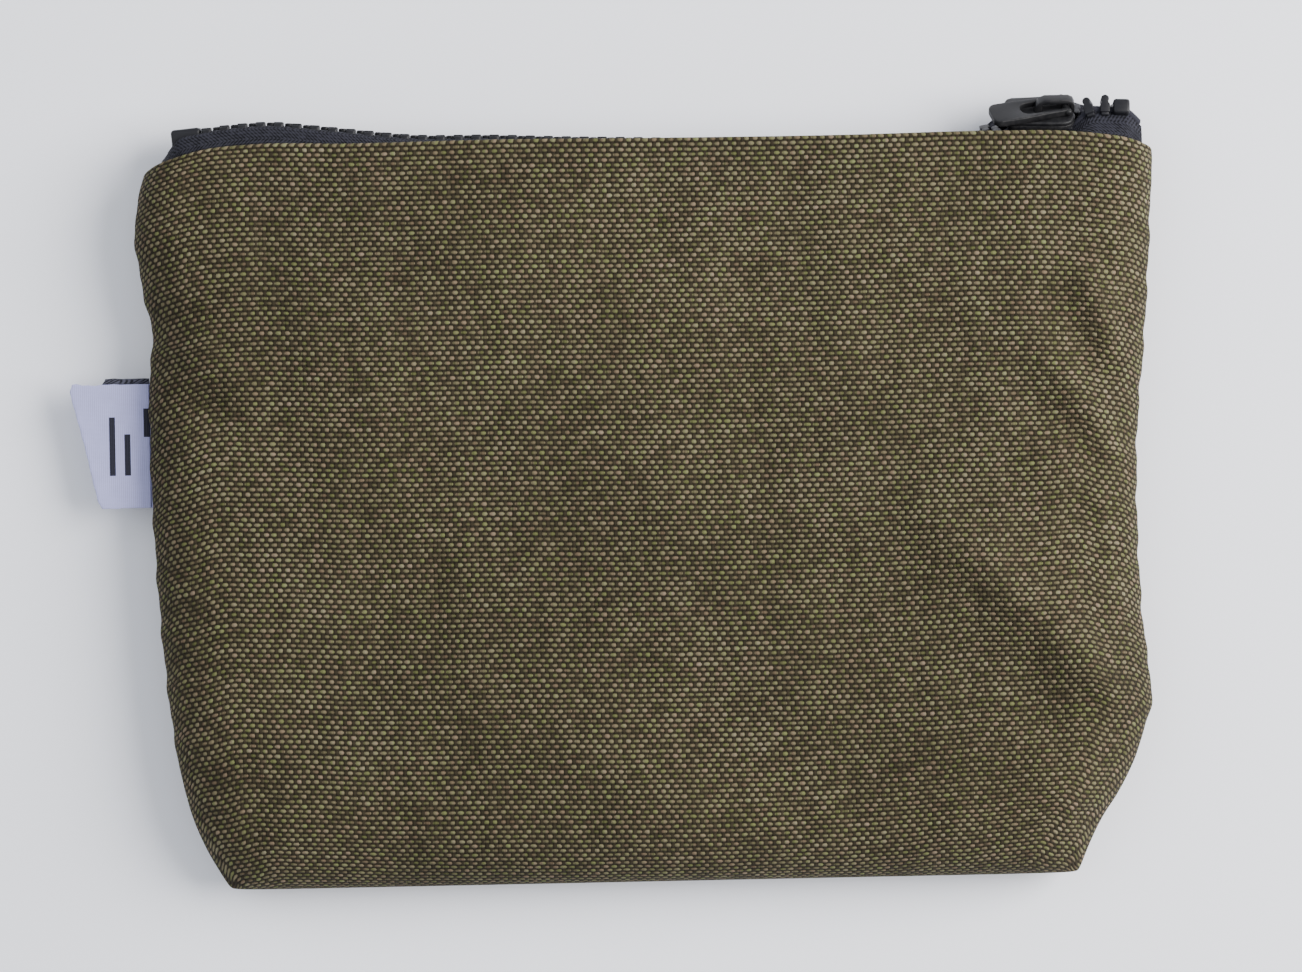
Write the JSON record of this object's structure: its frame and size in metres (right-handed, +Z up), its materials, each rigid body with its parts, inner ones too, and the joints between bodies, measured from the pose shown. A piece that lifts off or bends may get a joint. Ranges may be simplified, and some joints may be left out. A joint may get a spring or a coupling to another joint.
{
  "type": "treat pouch",
  "caption": "Small lined canvas pouch with boxed bottom corners, a moulded-tooth zip across its mouth and a folded side label.",
  "frame": {"origin": "on the flat back face, midway between the side seams and half the front panel's height above the bottom edge", "axes": "the pouch lies on its back: +X along the zip towards its top stops, +Y from the bottom to the zip, +Z up out of the front panel"},
  "size_m": [0.146, 0.1038, 0.0135],
  "materials": {
    "canvas": "woven canvas, matt",
    "interlining": "fused interlining, matt",
    "lining": "plain cotton, matt",
    "zip_tape": "woven polyester tape",
    "zip_plastic": "moulded acetal, satin",
    "slider_metal": "dark enamelled die casting",
    "label_satin": "woven satin",
    "label_backing": "woven twill tape",
    "thread": "spun sewing thread"
  },
  "bodies": {
    "pouch": {"front_panel": "canvas", "back_panel": "canvas", "front_interlining": "interlining", "back_interlining": "interlining", "front_lining": "lining", "back_lining": "lining", "front_zip_tape": "zip_tape", "back_zip_tape": "zip_tape", "front_tape_cord": "zip_tape", "back_tape_cord": "zip_tape", "front_teeth": "zip_plastic", "back_teeth": "zip_plastic", "front_top_stop": "zip_plastic", "back_top_stop": "zip_plastic", "bottom_stop": "zip_plastic", "label_ends": "label_satin", "front_zip_thread": "thread", "back_zip_thread": "thread", "left_side_thread": "thread", "right_side_thread": "thread", "bottom_thread": "thread", "left_corner_thread": "thread", "right_corner_thread": "thread", "lining_thread": "thread"},
    "slider": {"slider_body": "slider_metal", "slider_crown": "slider_metal"},
    "pull": {"pull_tab": "slider_metal"},
    "label": {"side_label": "label_satin", "label_backing": "label_backing"}
  },
  "joints": [
    {"name": "slider_slide", "type": "slide", "parent": "pouch", "child": "slider", "axis": [1, 0, 0], "range_m": [-0.106, 0.0045]},
    {"name": "pull_hinge", "type": "hinge", "parent": "slider", "child": "pull", "pos_m": [0.0563, 0.0523, 0.00774], "axis": [0, 0.6428, -0.766], "range_deg": [0, 175]},
    {"name": "label_flap", "type": "hinge", "parent": "pouch", "child": "label", "pos_m": [-0.0682, 0.00965, 0.005], "axis": [0, 1, 0], "range_deg": [-20, 70]}
  ]
}
